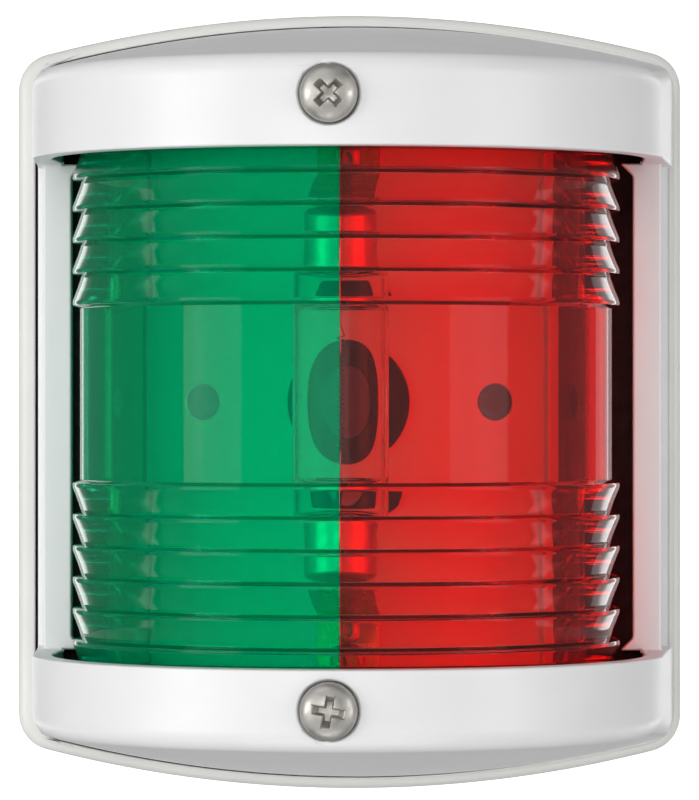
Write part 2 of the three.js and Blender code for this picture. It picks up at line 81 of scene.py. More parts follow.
SHIFT_X = sum(COVER_X) / 2  # the cover and its lenses sit a little to one side of the base
WALL = 1.7
COVER_REAR = COVER_DEPTH[0]
RIM = {"half_width": (COVER_X[1] - COVER_X[0]) / 2, "half_height": COVER_Z[1], "corner": 3}
RING = {"half_width": 29.2, "half_height": 34.6, "corner": 3}
STRAIGHT = 4000             # an arch radius that makes ends all but straight
HOOD_RADIUS = 30.4
HOOD_CENTRE = COVER_DEPTH[1] - HOOD_RADIUS
HOOD_HALF_HEIGHT = 31.9
WINDOW_TOP, WINDOW_BOTTOM = 23.34, -24.3
LEDGE = 1.4
STRIP_REAR, STRIP_FRONT = 8.5, 10.5
STRIP_INNER = 27.55
SIDE_LIP = 3.1              # beside the strips the cover keeps its outer edge up to this depth
LEDGE_OPENING = 28.5

LENS_X = (GREEN_X[0] + RED_X[1]) / 2
SEAM_X = (GREEN_X[1] + RED_X[0]) / 2
TIP_RADIUS, PLAIN_RADIUS, ROOT_RADIUS, INNER_RADIUS = 26.4, 25.7, 25.5, 23.6
LENS_CENTRE = LENS_DEPTH[1] - TIP_RADIUS
LENS_TOP, LENS_BOTTOM = LENS_Z[1], LENS_Z[0]
LENS_END_WALL = 1.2
RIB_FIRST, RIB_PITCH, RIB_COUNT = 8.46, 3.02, 6
SEAM_GAP = 0.04

LAMP_X, LAMP_DEPTH, LAMP_Z = span("lamp_glass")
LAMP_CENTRE = Vector((sum(LAMP_X) / 2, sum(LAMP_DEPTH) / 2, sum(LAMP_Z) / 2))

POST = {"half_width": 4.5, "front": 44, "inner": 25.45, "outer_front": 29.9, "outer_rear": 33}
SCREW_Z = 28
FIXING_X = 15
RIVET_HOLE, TERMINAL_HOLE = 0.85, 1.25


# ---- Mesh helpers --------------------------------------------------------------------------------

def make(name, points, faces):
    """A mesh object from (x, depth, z) points in millimetres."""
    mesh = bpy.data.meshes.new(name)
    mesh.from_pydata([(x * MM, -depth * MM, z * MM) for x, depth, z in points], [], faces)
    mesh.validate()
    obj = bpy.data.objects.new(name, mesh)
    bpy.context.scene.collection.objects.link(obj)
    face_outwards(obj)
    return obj


def face_outwards(obj):
    """Merges double points and turns every face outwards."""
    work = bmesh.new()
    work.from_mesh(obj.data)
    bmesh.ops.remove_doubles(work, verts=work.verts, dist=1e-7)
    bmesh.ops.recalc_face_normals(work, faces=work.faces)
    if work.calc_volume(signed=True) < 0:
        bmesh.ops.reverse_faces(work, faces=work.faces)
    work.to_mesh(obj.data)
    work.free()


def loft(name, rings, ends="cap"):
    """Joins rings of equal length with quads. Its ends are capped, or joined to make a loop."""
    count = len(rings[0])
    points = [point for ring in rings for point in ring]
    faces = []
    pairs = len(rings) if ends == "loop" else len(rings) - 1
    for i in range(pairs):
        here, there = i * count, ((i + 1) % len(rings)) * count
        for j in range(count):
            k = (j + 1) % count
            faces.append((here + j, here + k, there + k, there + j))
    if ends == "cap":
        faces.append(tuple(reversed(range(count))))
        faces.append(tuple((len(rings) - 1) * count + j for j in range(count)))
    return make(name, points, faces)


def revolve(name, profile, segments, place):
    """Spins (radius, along) points; place(radius, angle, along) gives each. Zero radius is a pole."""
    points, faces, rows = [], [], []
    for radius, along in profile:
        start = len(points)
        if radius < 1e-6:
            points.append(place(0, 0, along))
            rows.append([start] * segments)
        else:
            points += [place(radius, math.tau * j / segments, along) for j in range(segments)]
            rows.append([start + j for j in range(segments)])
    for low, high in zip(rows, rows[1:]):
        for j in range(segments):
            k = (j + 1) % segments
            corners = list(dict.fromkeys((low[j], low[k], high[k], high[j])))
            if len(corners) > 2:
                faces.append(tuple(corners))
    return make(name, points, faces)


def turned(name, profile, segments=64, x=0.0, z=0.0):
    """A round piece about a forward axis; the profile is (radius, depth)."""
    return revolve(name, profile, segments,
                   lambda r, a, depth: (x + r * math.cos(a), depth, z + r * math.sin(a)))


def drum(name, profile, segments=64, x=0.0, depth=0.0, z=0.0):
    """A round piece about a vertical axis; the profile is (radius, height)."""
    return revolve(name, profile, segments,
                   lambda r, a, up: (x + r * math.sin(a), depth + r * math.cos(a), z + up))


def disc(radius, start, end):
    """The profile of a plain round piece."""
    return [(0, start), (radius, start), (radius, end), (0, end)]


def rounded_corner(profile, at, radius, steps=5):
    """Replaces one corner of a profile with an arc of that radius."""
    before, corner, after = (Vector(profile[at + k]) for k in (-1, 0, 1))
    one, two = (before - corner).normalized(), (after - corner).normalized()
    half = one.angle(two) / 2
    reach = min(radius / math.tan(half), (before - corner).length, (after - corner).length)
    start, end = corner + one * reach, corner + two * reach
    arc = []
    for i in range(steps + 1):
        t = i / steps
        arc.append(tuple(start * (1 - t) ** 2 + corner * 2 * t * (1 - t) + end * t ** 2))
    return profile[:at] + arc + profile[at + 1:]


def block(name, low, high):
    """An axis-aligned block between two (x, depth, z) corners."""
    (x0, d0, z0), (x1, d1, z1) = low, high
    ring = [(x0, d0), (x1, d0), (x1, d1), (x0, d1)]
    return loft(name, [[(x, d, z) for x, d in ring] for z in (z0, z1)])


def slab(name, outline, depth0, depth1):
    """A front-view outline of (x, z) points, extruded from one depth to another."""
    return loft(name, [[(x, depth, z) for x, z in outline] for depth in (depth0, depth1)])


def tier(name, outline, z0, z1):
    """A plan outline of (x, depth) points, extruded from one height to another."""
    return loft(name, [[(x, depth, z) for x, depth in outline] for z in (z0, z1)])


def settle(obj):
    """Applies an object's modifiers."""
    graph = bpy.context.evaluated_depsgraph_get()
    mesh = bpy.data.meshes.new_from_object(obj.evaluated_get(graph))
    obj.modifiers.clear()
    obj.data = mesh
    return obj


def combine(obj, tool, operation):
    """Applies a boolean and removes the tool."""
    modifier = obj.modifiers.new("combine", "BOOLEAN")
    modifier.operation = operation
    modifier.solver = "MANIFOLD"
    modifier.object = tool
    settle(obj)
    bpy.data.objects.remove(tool)
    return obj


def cut(obj, *tools):
    for tool in tools:
        combine(obj, tool, "DIFFERENCE")
    return obj


def join(obj, *tools):
    for tool in tools:
        combine(obj, tool, "UNION")
    return obj


def keep(obj, tool):
    return combine(obj, tool, "INTERSECT")


def clean(obj):
    """Merges points that a boolean left almost together."""
    work = bmesh.new()
    work.from_mesh(obj.data)
    bmesh.ops.remove_doubles(work, verts=work.verts, dist=2e-6)
    bmesh.ops.dissolve_degenerate(work, edges=work.edges, dist=2e-6)
    work.to_mesh(obj.data)
    work.free()
    return obj


def soften(obj, width, segments=2, angle=32):
    """Rounds every edge sharper than the angle by a width in millimetres."""
    clean(obj)
    modifier = obj.modifiers.new("soften", "BEVEL")
    modifier.width = width * MM
    modifier.segments = segments
    modifier.limit_method = "ANGLE"
    modifier.angle_limit = math.radians(angle)
    modifier.use_clamp_overlap = False
    modifier.miter_outer = "MITER_ARC"
    settle(obj)
    return obj


def smooth(obj, angle=35):
    """Shades smooth, with sharp edges only past the angle."""
    for polygon in obj.data.polygons:
        polygon.use_smooth = True
    obj.data.set_sharp_from_angle(angle=math.radians(angle))
    modifier = obj.modifiers.new("weights", "WEIGHTED_NORMAL")
    modifier.keep_sharp = True
    settle(obj)
    return obj


def tube(name, path, radius, sides=8):
    """A round wire along a path of (x, depth, z) points."""
    path = [Vector(point) for point in path]
    rings = []
    normal = None
    for i, point in enumerate(path):
        along = (path[min(i + 1, len(path) - 1)] - path[max(i - 1, 0)]).normalized()
        if normal is None:
            normal = along.orthogonal().normalized()
        normal = (normal - along * normal.dot(along)).normalized()
        other = along.cross(normal)
        rings.append([
            tuple(point + (normal * math.cos(a) + other * math.sin(a)) * radius)
            for a in (math.tau * k / sides for k in range(sides))
        ])
    return loft(name, rings)


def arc(radius, start, end, steps):
    """Points (cos, sin) of an arc between two angles in degrees."""
    angles = [math.radians(start + (end - start) * i / steps) for i in range(steps + 1)]
    return [(radius * math.cos(a), radius * math.sin(a)) for a in angles]


def arched_outline(half_width, half_height, corner, inset=0, centre_x=0, arch_radius=ARCH_RADIUS):
    """A rectangle with shallow arches at top and bottom and round corners, as (x, z) points."""
    arch_centre = half_height - arch_radius
    corner_x = half_width - corner
    corner_z = arch_centre + math.sqrt((arch_radius - corner) ** 2 - corner_x ** 2)
    turn = math.degrees(math.atan2(corner_z - arch_centre, corner_x))
    corner_arc = arc(max(corner - inset, 0.05), 0, turn, 10)
    quarter = [(corner_x + x, corner_z + z) for x, z in corner_arc]
    quarter += [(x, arch_centre + z) for x, z in arc(arch_radius - inset, turn, 90, 20)[1:]]
    sides = [(half_width - inset, corner_z * k / 6) for k in range(6)]
    upper_right = sides + quarter
    upper = upper_right + [(-x, z) for x, z in reversed(upper_right[:-1])]
    lower = [(x, -z) for x, z in reversed(upper[1:-1])]
    return [(centre_x + x, z) for x, z in upper + lower]


def at_depth(outline, depth):
    """An outline of (x, z) points as (x, depth, z) points."""
    return [(x, depth, z) for x, z in outline]


def circle_like(outline, radius):
    """A circle with as many points as an outline, each in its point's direction from the middle."""
    turns = [math.atan2(z, x) for x, z in outline]
    return [(radius * math.cos(turn), radius * math.sin(turn)) for turn in turns]


# ---- Materials -----------------------------------------------------------------------------------

def new_material(name):
    """A node material, its tree and its main shader."""
    material = bpy.data.materials.new(name)
    material.use_nodes = True
    nodes = material.node_tree.nodes
    shader = nodes["Principled BSDF"]
    return material, material.node_tree, shader


def noise(tree, scale, detail=3.0, roughness=0.5):
    """A noise texture in the piece's own space; the scale is in cells per metre."""
    place = tree.nodes.new("ShaderNodeTexCoord")
    texture = tree.nodes.new("ShaderNodeTexNoise")
    texture.inputs["Scale"].default_value = scale
    texture.inputs["Detail"].default_value = detail
    texture.inputs["Roughness"].default_value = roughness
    tree.links.new(place.outputs["Object"], texture.inputs["Vector"])
    return texture.outputs["Fac"]


def ramp(tree, source, *stops):
    """A colour ramp through (position, colour) stops; a number stands for a grey."""
    node = tree.nodes.new("ShaderNodeValToRGB")
    elements = node.color_ramp.elements
    for i, (position, colour) in enumerate(stops):
        element = elements[i] if i < 2 else elements.new(position)
        element.position = position
        element.color = (*colour, 1) if isinstance(colour, tuple) else (colour, colour, colour, 1)
    tree.links.new(source, node.inputs["Fac"])
    return node.outputs["Color"]


def bump(tree, shader, height, strength, distance):
    """Fine relief from a height; the distance is in metres."""
    node = tree.nodes.new("ShaderNodeBump")
    node.inputs["Strength"].default_value = strength
    node.inputs["Distance"].default_value = distance
    tree.links.new(height, node.inputs["Height"])
    tree.links.new(node.outputs["Normal"], shader.inputs["Normal"])


def moulded_plastic(name, colour, gloss):
    """White ABS: faint cloudy tone, fine moulded grain and uneven gloss."""
    material, tree, shader = new_material(name)
    shade = tuple(c * 0.965 for c in colour)
    tone = ramp(tree, noise(tree, 90, 4), (0.35, shade), (0.65, colour))
    tree.links.new(tone, shader.inputs["Base Color"])
    rough = ramp(tree, noise(tree, 700, 2), (0.3, gloss - 0.04), (0.7, gloss + 0.05))
    tree.links.new(rough, shader.inputs["Roughness"])
    shader.inputs["IOR"].default_value = 1.5
    bump(tree, shader, noise(tree, 2600, 2), 0.12, 0.00004)
    return material


def transparent(name, body, transmission, roughness, ior, light_gain=(1, 1, 1)):
    """A clear solid that casts no shadow; light for what is behind it is multiplied by a colour, and a
    colour above 1 is painted light that brightens what is behind it.
    """
    material, tree, shader = new_material(name)
    shader.inputs["Base Color"].default_value = (*body, 1)
    shader.inputs["Transmission Weight"].default_value = transmission
    shader.inputs["Roughness"].default_value = roughness
    shader.inputs["IOR"].default_value = ior
    shader.inputs["Specular Tint"].default_value = (0.1, 0.1, 0.1, 1)
    clear = tree.nodes.new("ShaderNodeBsdfTransparent")
    clear.inputs["Color"].default_value = (*light_gain, 1)
    path = tree.nodes.new("ShaderNodeLightPath")
    mix = tree.nodes.new("ShaderNodeMixShader")
    tree.links.new(path.outputs["Is Shadow Ray"], mix.inputs["Fac"])
    tree.links.new(shader.outputs["BSDF"], mix.inputs[1])
    tree.links.new(clear.outputs["BSDF"], mix.inputs[2])
    tree.links.new(mix.outputs["Shader"], tree.nodes["Material Output"].inputs["Surface"])
    return material


def tinted_lens(name, body, cloud, tint, density, light_gain):
    """Coloured polycarbonate: slightly cloudy, and tinted by its thickness."""
    material = transparent(name, body, 1 - cloud, 0.02, 1.49, light_gain)
    tree = material.node_tree
    absorb = tree.nodes.new("ShaderNodeVolumeAbsorption")
    absorb.inputs["Color"].default_value = (*tint, 1)
    absorb.inputs["Density"].default_value = density
    tree.links.new(absorb.outputs["Volume"], tree.nodes["Material Output"].inputs["Volume"])
    return material


def metal(name, colour, roughness, grain_scale, tarnish=0.85):
    """Metal with cloudy tarnish and fine uneven polish."""
    material, tree, shader = new_material(name)
    dull = tuple(c * tarnish for c in colour)
    tone = ramp(tree, noise(tree, 420, 4), (0.35, dull), (0.6, colour))
    tree.links.new(tone, shader.inputs["Base Color"])
    shader.inputs["Metallic"].default_value = 1.0
    polish = ramp(tree, noise(tree, grain_scale, 3), (0.3, roughness * 0.8), (0.7, roughness * 1.3))
    tree.links.new(polish, shader.inputs["Roughness"])
    bump(tree, shader, noise(tree, grain_scale * 1.7, 2), 0.15, 0.00003)
    return material


def black_rubber(name):
    """Matt black rubber with a cloudy tone and a fine dusty grain."""
    material, tree, shader = new_material(name)
    tone = ramp(tree, noise(tree, 300, 3), (0.3, 0.006), (0.7, (0.014, 0.014, 0.015)))
    tree.links.new(tone, shader.inputs["Base Color"])
    rough = ramp(tree, noise(tree, 900, 3), (0.3, 0.55), (0.7, 0.8))
    tree.links.new(rough, shader.inputs["Roughness"])
    bump(tree, shader, noise(tree, 2200, 3), 0.2, 0.00005)
    shader.inputs["Specular IOR Level"].default_value = 0.15
    return material


MATERIALS = {
    "base_plastic": moulded_plastic("base_plastic", (0.72, 0.715, 0.69), 0.42),
    "cover_plastic": moulded_plastic("cover_plastic", (0.80, 0.80, 0.805), 0.38),
    "black_rubber": black_rubber("black_rubber"),
    "green_lens": tinted_lens(
        "green_lens", (0.0, 1.0, 0.45), 0.10, (0.0, 0.93, 0.945), 2200, (0.92, 0.92, 0.84)),
    # The red lens's light gain is above 1: painted light, which brightens the inside behind it past
    # the light that falls there.
    "red_lens": tinted_lens(
        "red_lens", (1.0, 0.9, 0.9), 0.016, (1.0, 0.39, 0.36), 1780, (1.45, 1.4, 1.4)),
    "stainless": metal("stainless", (0.50, 0.485, 0.45), 0.47, 1500, 0.85),
    "nickel": metal("nickel", (0.74, 0.72, 0.68), 0.42, 1200, 0.88),
    "brass": metal("brass", (0.66, 0.48, 0.22), 0.3, 1100, 0.7),
    "lamp_glass": transparent("lamp_glass", (0.98, 1, 0.99), 1, 0, 1.47),
    "filament": metal("filament", (0.05, 0.047, 0.045), 0.6, 2500, 0.9),
}


def finish_piece(obj, node, body, slot):
    """Gives a piece its material, ties it to its body and lets it stand for its CAD node."""
    obj.data.materials.clear()
    obj.data.materials.append(MATERIALS[slot])
    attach(obj, body)
    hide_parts(node)
    return obj


# ---- Base plate ----------------------------------------------------------------------------------

def post_inner(side):
    """Height of a screw post's face next to the lenses."""
    return POST["inner"] if side > 0 else WINDOW_TOP + WINDOW_BOTTOM - POST["inner"]


def screw_post(side):
    """A post that a cover screw goes into, rooted just inside the slab."""
    inner, rear, reach = post_inner(side), SLAB_FRONT - 0.3, POST["half_width"]
    corners = [
        (rear, inner),
        (POST["front"], inner),
        (POST["front"], side * POST["outer_front"]),
        (rear, side * POST["outer_rear"]),
    ]
    return loft("post", [[(x, depth, z) for depth, z in corners] for x in (-reach, reach)])


def base_moulding():
    """The flange, the well for the cover's rim, the ring, the slab, the posts and the holes.

    The section is lofted as a loop: up the flange's edge, over into the well, over the ring, down to
    the slab and back through the cable hole.
    """
    gap = 0.14
    flange = lambda inset: arched_outline(**FLANGE, inset=inset)
    well = lambda inset: arched_outline(
        RIM["half_width"] + gap, RIM["half_height"] + 0.06, RIM["corner"] + gap, inset, SHIFT_X - 0.12)
    ring = lambda inset: arched_outline(**RING, inset=inset, centre_x=SHIFT_X)
    window = lambda inset: arched_outline(20.5, 23, 3, inset, 0, STRAIGHT)
    hole = lambda inset: circle_like(flange(0), CABLE_HOLE - inset)
    edge = 1.2
    section = [(hole, 0, 0), (flange, 0.25, 0), (flange, 0.07, 0.07), (flange, 0, 0.25)]
    for i in range(9):
        turn = math.radians(90 * i / 8)
        depth = FLANGE_FRONT - edge * (1 - math.sin(turn))
        section.append((flange, edge * (1 - math.cos(turn)), depth))
    section += [
        (well, -0.16, FLANGE_FRONT), (well, -0.05, FLANGE_FRONT - 0.05),
        (well, 0, FLANGE_FRONT - 0.16), (well, 0, SLAB_FRONT),
        (ring, 0, SLAB_FRONT), (ring, 0, RING_FRONT - 0.3),
        (ring, 0.09, RING_FRONT - 0.09), (ring, 0.3, RING_FRONT),
        (window, -0.3, RING_FRONT), (window, -0.09, RING_FRONT - 0.09), (window, 0, RING_FRONT - 0.3),
        (window, 0.1, SLAB_FRONT + 0.3), (window, 0.35, SLAB_FRONT),
        (hole, -0.2, SLAB_FRONT), (hole, 0, SLAB_FRONT - 0.2),
    ]
    rings = [at_depth(outline(inset), depth) for outline, inset, depth in section]
    body = loft("base_moulding", rings, ends="loop")
    rivet_hole = [(0, -1), (1.5, -1), (1.5, 0.9), (RIVET_HOLE, 0.9), (RIVET_HOLE, 3), (0, 3)]
    for name, side in SIDES.items():
        join(body, screw_post(side))
        cut(body,
            turned("hole", disc(1.35, 27, 46), 32, 0, side * SCREW_Z),
            turned("hole", rivet_hole, 32, 0, middle_z(f"clip_rivet_{name}")),
            turned("hole", disc(TERMINAL_HOLE, -1, 3), 32, 0, middle_z(f"terminal_screw_{name}")),
            turned("hole", disc(1.85, -1, 3), 40, side * FIXING_X, 0))
    soften(body, 0.12, 2)
    return smooth(body)


finish_piece(base_moulding(), "base_plate", "base", "base_plastic")


# ---- Cable grommet -------------------------------------------------------------------------------

def grommet():
    """A neck in the cable hole, and a flange that rises to a lip round the bore."""
    bore = 3.6
    neck = [(bore, 0.35), (bore + 0.15, 0.2), (CABLE_HOLE - 0.25, 0.2), (CABLE_HOLE - 0.1, 0.35)]
    flange = [(CABLE_HOLE + out, SLAB_FRONT + up) for out, up in (
        (-0.1, 0.05), (1, 0.05), (1.1, 0.2), (0.85, 0.68), (0.5, 0.85))]
    lip = [(bore + out, SLAB_FRONT + up) for out, up in (
        (0.75, 1.25), (0.35, 1.28), (0.08, 1.15), (0, 0.95))]
    return smooth(turned("grommet", [*neck, *flange, *lip, neck[0]], 72), 50)


finish_piece(grommet(), "cable_grommet", "base", "black_rubber")


# ---- Rim seal and gasket -------------------------------------------------------------------------

def lens_plan(radius, rear, steps=72):
    """The plan of the hollow that the lenses stand in: a half circle, then straight to the rear."""
    front = [(SHIFT_X + x, LENS_CENTRE + depth) for x, depth in arc(radius, 0, 180, steps)]
    return front + [(SHIFT_X - radius, rear), (SHIFT_X + radius, rear)]


def hood_solid(name, inset, rear, columns=96, steps=7):
    """The cover's outer form, shrunk by inset: an arched rim lofted forwards to a half-round hood."""
    edge = max(2.0 - inset, 0.3)
    half = HOOD_HALF_HEIGHT - inset
    turns = [math.radians(90 * i / steps) for i in range(steps + 1)]
    ends = [(edge * (1 - math.cos(t)), edge * (1 - math.sin(t))) for t in turns]
    rows = [(-1, *end) for end in ends] + [(1, *end) for end in reversed(ends)]
    points = []
    for i in range(columns + 1):
        across = 2 * i / columns - 1
        turn = across * math.pi / 2
        arch = RIM["half_height"] - inset - ARCH_RADIUS
        rear_z = arch + math.sqrt(ARCH_RADIUS ** 2 - (across * RIM["half_width"]) ** 2)
        rear_x = across * (RIM["half_width"] - inset)
        for side, drop, pull_back in rows:
            radius = HOOD_RADIUS - inset - pull_back
            depth = HOOD_CENTRE + radius * math.cos(turn)
            front = Vector((radius * math.sin(turn), depth, half - drop))
            back = Vector((rear_x, COVER_REAR, rear_z * (1 - drop / half)))
            back = front + (back - front) * (front.y - rear) / (front.y - COVER_REAR)
            points += [(SHIFT_X + at.x, at.y, side * at.z) for at in (front, back)]
    count = len(rows)
    front_at = lambda i, j: 2 * (i * count + j)
    faces = []
    for j in range(count - 1):
        for i in range(columns):
            at = ((i, j), (i + 1, j), (i + 1, j + 1), (i, j + 1))
            corners = [front_at(*place) for place in at]
            faces += [tuple(corners), tuple(c + 1 for c in reversed(corners))]
        for i in (0, columns):
            low, high = front_at(i, j), front_at(i, j + 1)
            faces.append((low, high, high + 1, low + 1))
    for i in range(columns):
        for j in (0, count - 1):
            here, there = front_at(i, j), front_at(i + 1, j)
            faces.append((here, there, there + 1, here + 1))
    return make(name, points, faces)


def rim_seal():
    """A flat ring that fills the well behind the cover's rim."""
    rear, front = span("rim_seal")[1]
    outer, inner = (
        arched_outline(edge["half_width"] + gap, edge["half_height"] + gap, edge["corner"], 0, SHIFT_X)
        for edge, gap in ((RIM, 0.25), (RING, 0.05)))
    section = [(outer, rear), (outer, front), (inner, front), (inner, rear)]
    return smooth(loft("rim_ring", [at_depth(*part) for part in section], ends="loop"))


finish_piece(rim_seal(), "rim_seal", "base", "black_rubber")


def lens_gasket():
    """A frame behind the lenses, with a thin pad above and below them and ways for the posts."""
    rear, front, edge = GASKET_DEPTH[0], 7.9, 0.25
    outer = lambda inset: arched_outline(
        RIM["half_width"] - WALL - 1, RIM["half_height"] - WALL - 1.4, 2, inset, SHIFT_X)
    window = lambda inset: arched_outline(21.3, 23.2, 1.5, inset, SHIFT_X, STRAIGHT)
    section = [
        (outer, 0, rear), (outer, 0, front - edge), (outer, edge, front),
        (window, -edge, front), (window, 0, front - edge), (window, 0, rear),
    ]
    rings = [at_depth(outline(inset), depth) for outline, inset, depth in section]
    body = loft("gasket", rings, ends="loop")
    for z in (LENS_TOP + 0.07, LENS_BOTTOM - 0.52):
        pad = tier("pad", lens_plan(29, rear + 0.2), z, z + 0.45)
        cut(pad, tier("pad_hollow", lens_plan(21, 3.9), z - 1, z + 2))
        join(body, pad)
    for side in SIDES.values():
        near = post_inner(side) - side * 0.05
        reach = POST["half_width"] + 0.3
        low, high = sorted((near, side * 45))
        cut(body, block("post_way", (-reach, 0, low), (reach, AHEAD, high)))
    keep(body, hood_solid("inside", WALL + 0.3, -5))
    return smooth(body)


finish_piece(lens_gasket(), "lens_gasket", "cover", "black_rubber")


# ---- Front cover ---------------------------------------------------------------------------------

def chamfered_window(z0, z1, half_width, chamfer):
    """A rectangle with its corners cut off, as (x, z) points."""
    left, right = SHIFT_X - half_width, SHIFT_X + half_width
    return [
        (right, z0 + chamfer), (right, z1 - chamfer), (right - chamfer, z1), (left + chamfer, z1),
        (left, z1 - chamfer), (left, z0 + chamfer), (left + chamfer, z0), (right - chamfer, z0),
    ]


def cover_fittings():
    """The ledges over and under the lenses, the side strips and the sleeves that meet the posts."""
    overlap = 0.02
    body = block("ledges", (-BESIDE, STRIP_REAR, WINDOW_TOP), (BESIDE, AHEAD, WINDOW_TOP + LEDGE))
    join(body, block(
        "ledge", (-BESIDE, STRIP_REAR, WINDOW_BOTTOM - LEDGE), (BESIDE, AHEAD, WINDOW_BOTTOM)))
    cut(body, tier("lens_space", lens_plan(LEDGE_OPENING, 2), -40, 40))
    strips = block("strips", (-BESIDE, STRIP_REAR, WINDOW_BOTTOM - overlap),
                   (BESIDE, STRIP_FRONT, WINDOW_TOP + overlap))
    way = chamfered_window(WINDOW_BOTTOM - 0.03, WINDOW_TOP + 0.03, STRIP_INNER, 1.2)
    join(body, cut(strips, slab("way", way, 0, 30)))
    rear, front, reach = POST["front"] + 0.3, COVER_DEPTH[1] - 0.8, POST["half_width"]
    for side in SIDES.values():
        low, high = sorted((post_inner(side), side * (HOOD_HALF_HEIGHT - WALL / 2)))
        join(body, block("sleeve", (-reach, rear, low), (reach, front, high)))
    return keep(body, hood_solid("form", overlap, COVER_REAR))


def front_cover():
    """The hood's shell with its window, its fittings and the two screw seats."""
    rim = arched_outline(**RIM, centre_x=SHIFT_X)
    shell = keep(hood_solid("cover", 0, COVER_REAR), slab("rim", rim, 0, AHEAD))
    cut(shell, hood_solid("inside", WALL, -5))
    join(shell, cover_fittings())
    cut(shell, block("window", (-BESIDE, STRIP_FRONT, WINDOW_BOTTOM), (BESIDE, AHEAD, WINDOW_TOP)))
    for side in (-1, 1):
        low, high = sorted((SHIFT_X + side * (HOOD_RADIUS - 0.1), side * 50))
        cut(shell, block("step", (low, SIDE_LIP, WINDOW_BOTTOM), (high, AHEAD, WINDOW_TOP)))
    seat = [(0, 30), (1.6, 30), (1.6, 48.4), (2.63, 48.4), (2.7, 48.9), (2.85, 49.15),
            (2.85, AHEAD), (0, AHEAD)]
    for side in SIDES.values():
        cut(shell, turned("seat", seat, 64, 0, side * SCREW_Z))
    soften(shell, 0.22, 3)
    return smooth(shell)


finish_piece(front_cover(), "front_cover", "cover", "cover_plastic")


# ---- Lenses --------------------------------------------------------------------------------------

def lens_profile():
    """The saw-tooth outside of the drum from the bottom end to the top, as (radius, z) points."""
    middle = sum(LAMP_Z) / 2
    points = [(0, LENS_BOTTOM), (ROOT_RADIUS - 0.3, LENS_BOTTOM), (ROOT_RADIUS, LENS_BOTTOM + 0.12)]
    ribs = []
    for n in range(RIB_COUNT):
        tip = middle - RIB_FIRST - n * RIB_PITCH
        root = max(tip - RIB_PITCH, LENS_BOTTOM + 0.15)
        ribs += [
            (PLAIN_RADIUS if n == 0 else ROOT_RADIUS, tip + 0.26), (TIP_RADIUS - 0.22, tip),
            (TIP_RADIUS - 0.06, tip - 0.06), (TIP_RADIUS, tip - 0.22),
            (TIP_RADIUS - 0.02, tip - 0.5), (ROOT_RADIUS + 0.42, tip - 1.75),
            (ROOT_RADIUS + 0.08, root + 0.2),
        ]
    points += reversed([p for p in ribs if p[1] > LENS_BOTTOM + 0.2])
    points += [(radius, 2 * middle - z) for radius, z in ribs if 2 * middle - z < LENS_TOP - 0.3]
    last = points[-1][0]
    points += [(last, LENS_TOP - 0.12), (last - 0.3, LENS_TOP), (0, LENS_TOP)]
    return points


def lens_half(name, side):
    """One side of a hollow drum that is open at the rear."""
    hollow = disc(INNER_RADIUS, LENS_BOTTOM + LENS_END_WALL, LENS_TOP - LENS_END_WALL)
    for corner in (2, 1):
        hollow = rounded_corner(hollow, corner, 0.6)
    body, space = (drum(label, profile, 224, LENS_X, LENS_CENTRE)
                   for label, profile in ((name, lens_profile()), ("hollow", hollow)))
    cut(body, space)
    low, high = sorted((SEAM_X + side * SEAM_GAP / 2, side * 60))
    keep(body, block("half", (low, LENS_DEPTH[0], -60), (high, 80, 60)))
    clean(body)
    return smooth(body, 28)


finish_piece(lens_half("green_lens", -1), "starboard_lens", "cover", "green_lens")
finish_piece(lens_half("red_lens", 1), "port_lens", "cover", "red_lens")


# ---- Screws and seals ----------------------------------------------------------------------------

def turned_about(points, degrees):
    """Plane points turned about the origin."""
    cos, sin = math.cos(math.radians(degrees)), math.sin(math.radians(degrees))
    return [(a * cos - b * sin, a * sin + b * cos) for a, b in points]


def cross_recess(x, z, surface, depth, turn):
    """A tapered cross-shaped cutter, turned by degrees."""
    reach, arm = 1.82, 0.46
    rings = []
    for level, reach, arm in ((surface + 1, reach + 0.25, arm + 0.06),
                              (surface - depth, reach * 0.5, arm * 0.62)):
        quarter = [(reach, -arm), (reach, arm), (arm, arm)]
        outline = [point for k in range(4) for point in turned_about(quarter, 90 * k + turn)]
        rings.append([(x + a, level, z + b) for a, b in outline])
    return loft("recess", rings)


def threaded_shank(x, z, tip, start, end, root, crest, pitch):
    """A helical thread from a pointed tip, then a plain neck, as a closed grid."""
    sides, per_turn = 28, 8
    rows = int((start - tip) / pitch * per_turn)
    rings = []
    for i in range(rows + 1):
        depth = tip + (start - tip) * i / rows
        fade = min(1, (depth - tip) / (1.6 * pitch))
        ring = []
        for j in range(sides):
            angle = math.tau * j / sides
            phase = ((depth / pitch) + j / sides) % 1
            ridge = max(0, 1 - abs(phase - 0.5) / 0.32)
            radius = max(0.12, (root + (crest - root) * ridge) * fade)
            ring.append((x + radius * math.cos(angle), depth, z + radius * math.sin(angle)))
        rings.append(ring)
    turns = [math.tau * j / sides for j in range(sides)]
    for depth in (start + 0.3, end):
        rings.append([(x + root * math.cos(turn), depth, z + root * math.sin(turn)) for turn in turns])
    return loft("shank", rings)


def cover_screw(name, turn):
    """A domed head with a cross recess, on a threaded shank."""
    (x0, x1), (tip, top), (z0, z1) = span(f"cover_screw_{name}")
    x, z, radius = (x0 + x1) / 2, (z0 + z1) / 2, (x1 - x0) / 2
    edge, dome = 0.55, 1.35
    under = top - edge - dome
    profile = [(0, under), (radius - 0.25, under), (radius - 0.07, under + 0.07),
               (radius, under + 0.25), (radius, under + edge)]
    for i in range(1, 12):
        t = i / 12 * math.pi / 2
        profile.append((radius * math.cos(t) ** 0.8, under + edge + dome * math.sin(t)))
    profile.append((0, top))
    head = turned(f"screw_{name}", profile, 72, x, z)
    cut(head, cross_recess(x, z, top, 1.25, turn))
    soften(head, 0.07, 2, 40)
    join(head, threaded_shank(x, z, tip, tip + 13, under + 0.3, 0.9, 1.24, 1.06))
    return smooth(head, 45)


